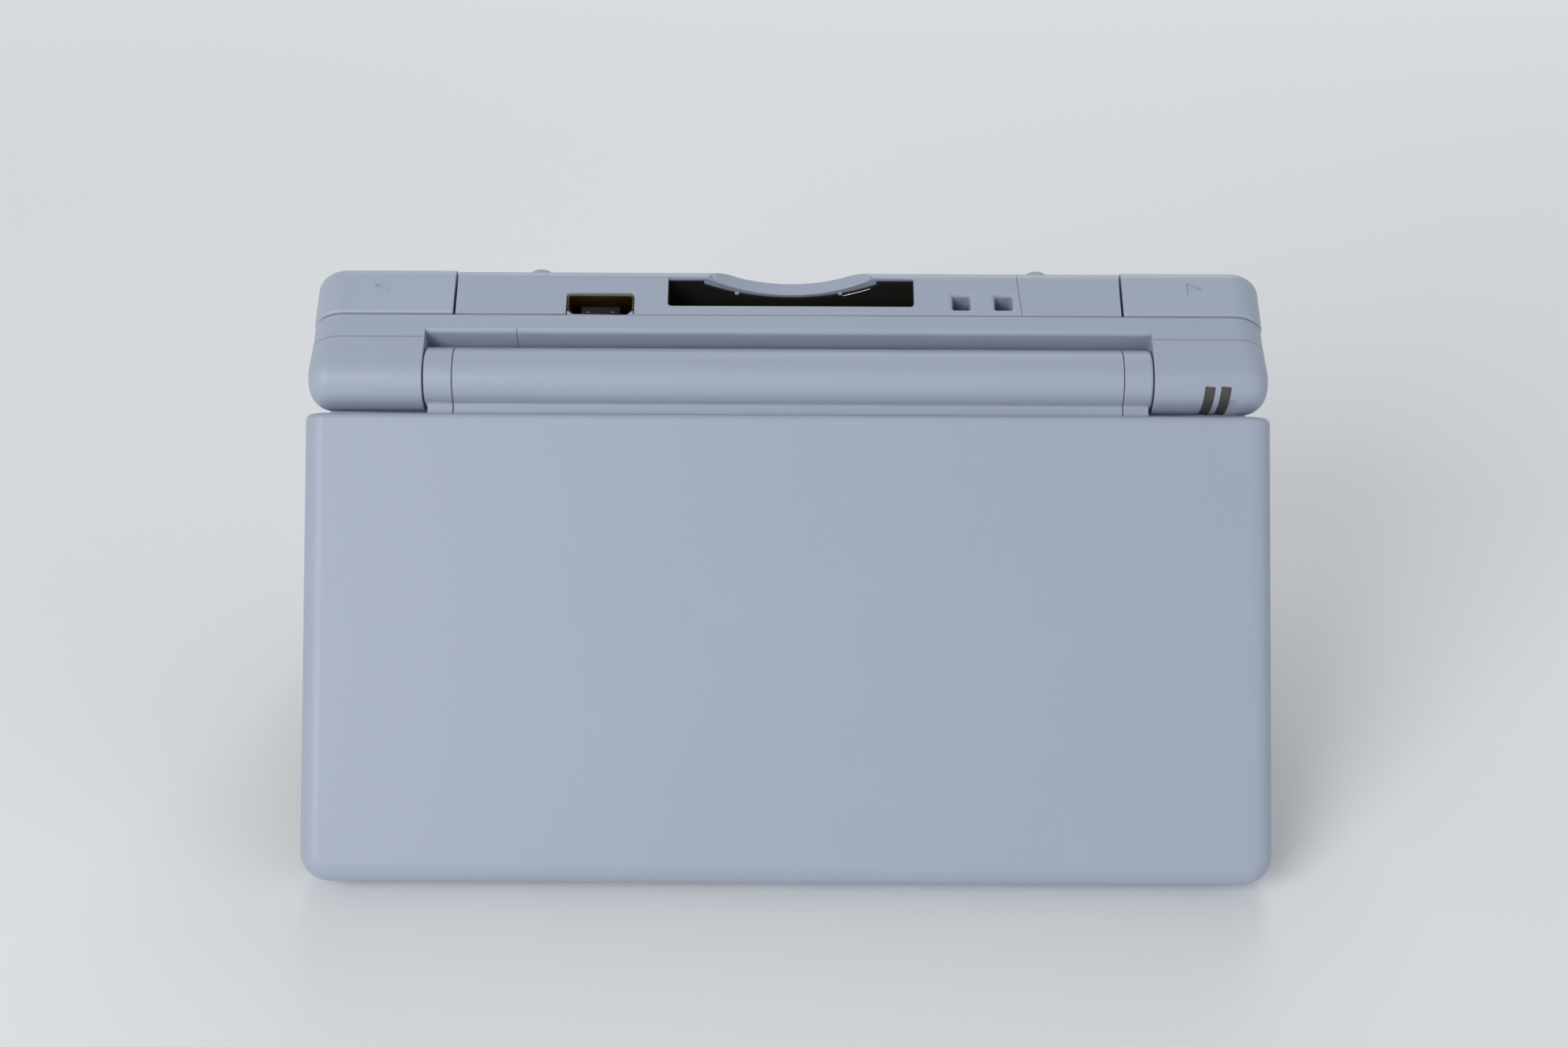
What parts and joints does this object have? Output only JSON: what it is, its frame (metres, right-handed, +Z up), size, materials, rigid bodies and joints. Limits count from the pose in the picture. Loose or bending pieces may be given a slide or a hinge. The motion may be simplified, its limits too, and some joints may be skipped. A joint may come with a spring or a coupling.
{
  "type": "clamshell handheld game console",
  "caption": "Slim clamshell handheld console with screens in lid and base, standing like a tent on the free edges of its half-opened lid and base.",
  "frame": {"origin": "middle of the footprint on the surface it stands on", "axes": "+X along the hinge to the player's right, +Z up, -Y towards the viewer of the lid's outer face"},
  "size_m": [0.1339, 0.0862, 0.0705],
  "materials": {
    "case_plastic": "fine matte, cool white",
    "button_plastic": "satin, slightly warmer white",
    "control_plastic": "satin light grey",
    "dark_plastic": "matte, near black",
    "circuit_board": "solder mask",
    "steel": "plain",
    "shield_metal": "dull",
    "gold_plating": "plated",
    "smoke_window": "smoked",
    "screen_glass": "clear over a dark panel",
    "display_panel": "dark",
    "rubber": "soft grey",
    "copper_foil": "foil",
    "battery_case": "matte"
  },
  "bodies": {
    "base": {"lower_shell": "case_plastic", "upper_shell": "case_plastic", "battery_cover": "case_plastic", "battery_cover_screw": "steel", "battery_pack": "battery_case", "case_screws": "steel", "rubber_feet": "rubber", "main_board": "circuit_board", "processor_shield": "shield_metal", "radio_module": "shield_metal", "card_slot": "dark_plastic", "cartridge_slot": "dark_plastic", "power_connector_shell": "gold_plating", "power_connector_tongue": "dark_plastic", "headphone_jack": "dark_plastic", "status_light_guides": "smoke_window", "touch_screen": "screen_glass", "display_gasket": "dark_plastic", "lower_display": "display_panel", "pad_membrane": "rubber", "button_membrane": "rubber", "shoulder_pins": "steel", "shoulder_springs": "steel", "shoulder_switches": "dark_plastic", "slide_switches": "dark_plastic", "stylus_sleeve": "case_plastic", "hinge_pin": "steel", "hinge_clutch": "steel", "hinge_ribbon": "copper_foil"},
    "lid": {"lid_outer_shell": "case_plastic", "lid_inner_shell": "case_plastic", "hinge_cap_left": "case_plastic", "hinge_cap_right": "case_plastic", "clutch_shaft": "steel", "upper_display": "display_panel", "display_window": "screen_glass", "speaker_left": "dark_plastic", "speaker_right": "dark_plastic", "lid_bumpers": "rubber", "lid_screws": "steel", "microphone": "steel", "antenna_strip": "copper_foil", "lid_ribbon": "copper_foil"},
    "shoulder_button_left": {"shoulder_button_left": "button_plastic"},
    "shoulder_button_right": {"shoulder_button_right": "button_plastic"},
    "pad_rocker": {"pad_rocker": "rubber"},
    "direction_pad": {"direction_pad": "control_plastic"},
    "button_right": {"button_right": "control_plastic"},
    "button_upper": {"button_upper": "control_plastic"},
    "button_lower": {"button_lower": "control_plastic"},
    "button_left": {"button_left": "control_plastic"},
    "menu_button_upper": {"menu_button_upper": "control_plastic"},
    "menu_button_lower": {"menu_button_lower": "control_plastic"},
    "power_slider": {"power_slider": "control_plastic"},
    "volume_slider": {"volume_slider": "control_plastic"},
    "stylus": {"stylus": "case_plastic"},
    "slot_cover": {"slot_cover": "case_plastic"}
  },
  "joints": [
    {"name": "lid_hinge", "type": "hinge", "parent": "base", "child": "lid", "pos_m": [0, -0.00207, 0.05984], "axis": [-1, 0, 0], "range_deg": [-60, 95]},
    {"name": "shoulder_left_press", "type": "hinge", "parent": "base", "child": "shoulder_button_left", "pos_m": [-0.0626, 0.00784, 0.06562], "axis": [0, 0.8926, 0.4508], "range_deg": [0, 2.4], "stiffness_Nm_per_rad": 0.2, "springref_deg": -2.29},
    {"name": "shoulder_right_press", "type": "hinge", "parent": "base", "child": "shoulder_button_right", "pos_m": [0.0626, 0.00784, 0.06562], "axis": [0, -0.8926, -0.4508], "range_deg": [0, 2.4], "stiffness_Nm_per_rad": 0.2, "springref_deg": -2.29},
    {"name": "pad_left_right", "type": "hinge", "parent": "base", "child": "pad_rocker", "pos_m": [-0.04967, 0.0168, 0.03912], "axis": [0, -0.4508, 0.8926], "range_deg": [-3.5, 3.5], "stiffness_Nm_per_rad": 0.05},
    {"name": "pad_up_down", "type": "hinge", "parent": "pad_rocker", "child": "direction_pad", "pos_m": [-0.04967, 0.0168, 0.03912], "axis": [1, 0, 0], "range_deg": [-3.5, 3.5], "stiffness_Nm_per_rad": 0.05},
    {"name": "button_right_press", "type": "slide", "parent": "base", "child": "button_right", "axis": [0, 0.8926, 0.4508], "range_m": [0, 0.0007], "stiffness_N_per_m": 500, "springref_m": -0.0004},
    {"name": "button_upper_press", "type": "slide", "parent": "base", "child": "button_upper", "axis": [0, 0.8926, 0.4508], "range_m": [0, 0.0007], "stiffness_N_per_m": 500, "springref_m": -0.0004},
    {"name": "button_lower_press", "type": "slide", "parent": "base", "child": "button_lower", "axis": [0, 0.8926, 0.4508], "range_m": [0, 0.0007], "stiffness_N_per_m": 500, "springref_m": -0.0004},
    {"name": "button_left_press", "type": "slide", "parent": "base", "child": "button_left", "axis": [0, 0.8926, 0.4508], "range_m": [0, 0.0007], "stiffness_N_per_m": 500, "springref_m": -0.0004},
    {"name": "menu_button_upper_press", "type": "slide", "parent": "base", "child": "menu_button_upper", "axis": [0, 0.8926, 0.4508], "range_m": [0, 0.0007], "stiffness_N_per_m": 500, "springref_m": -0.0004},
    {"name": "menu_button_lower_press", "type": "slide", "parent": "base", "child": "menu_button_lower", "axis": [0, 0.8926, 0.4508], "range_m": [0, 0.0007], "stiffness_N_per_m": 500, "springref_m": -0.0004},
    {"name": "power_slide", "type": "slide", "parent": "base", "child": "power_slider", "axis": [0, -0.4508, 0.8926], "range_m": [0, 0.002], "stiffness_N_per_m": 150, "springref_m": -0.001},
    {"name": "volume_slide", "type": "slide", "parent": "base", "child": "volume_slider", "axis": [1, 0, 0], "range_m": [-0.0033, 0.0033]},
    {"name": "stylus_pull", "type": "slide", "parent": "base", "child": "stylus", "axis": [1, 0, 0], "range_m": [0, 0.0885]},
    {"name": "slot_cover_pull", "type": "slide", "parent": "base", "child": "slot_cover", "axis": [0, 0.4508, -0.8926], "range_m": [0, 0.024]}
  ]
}
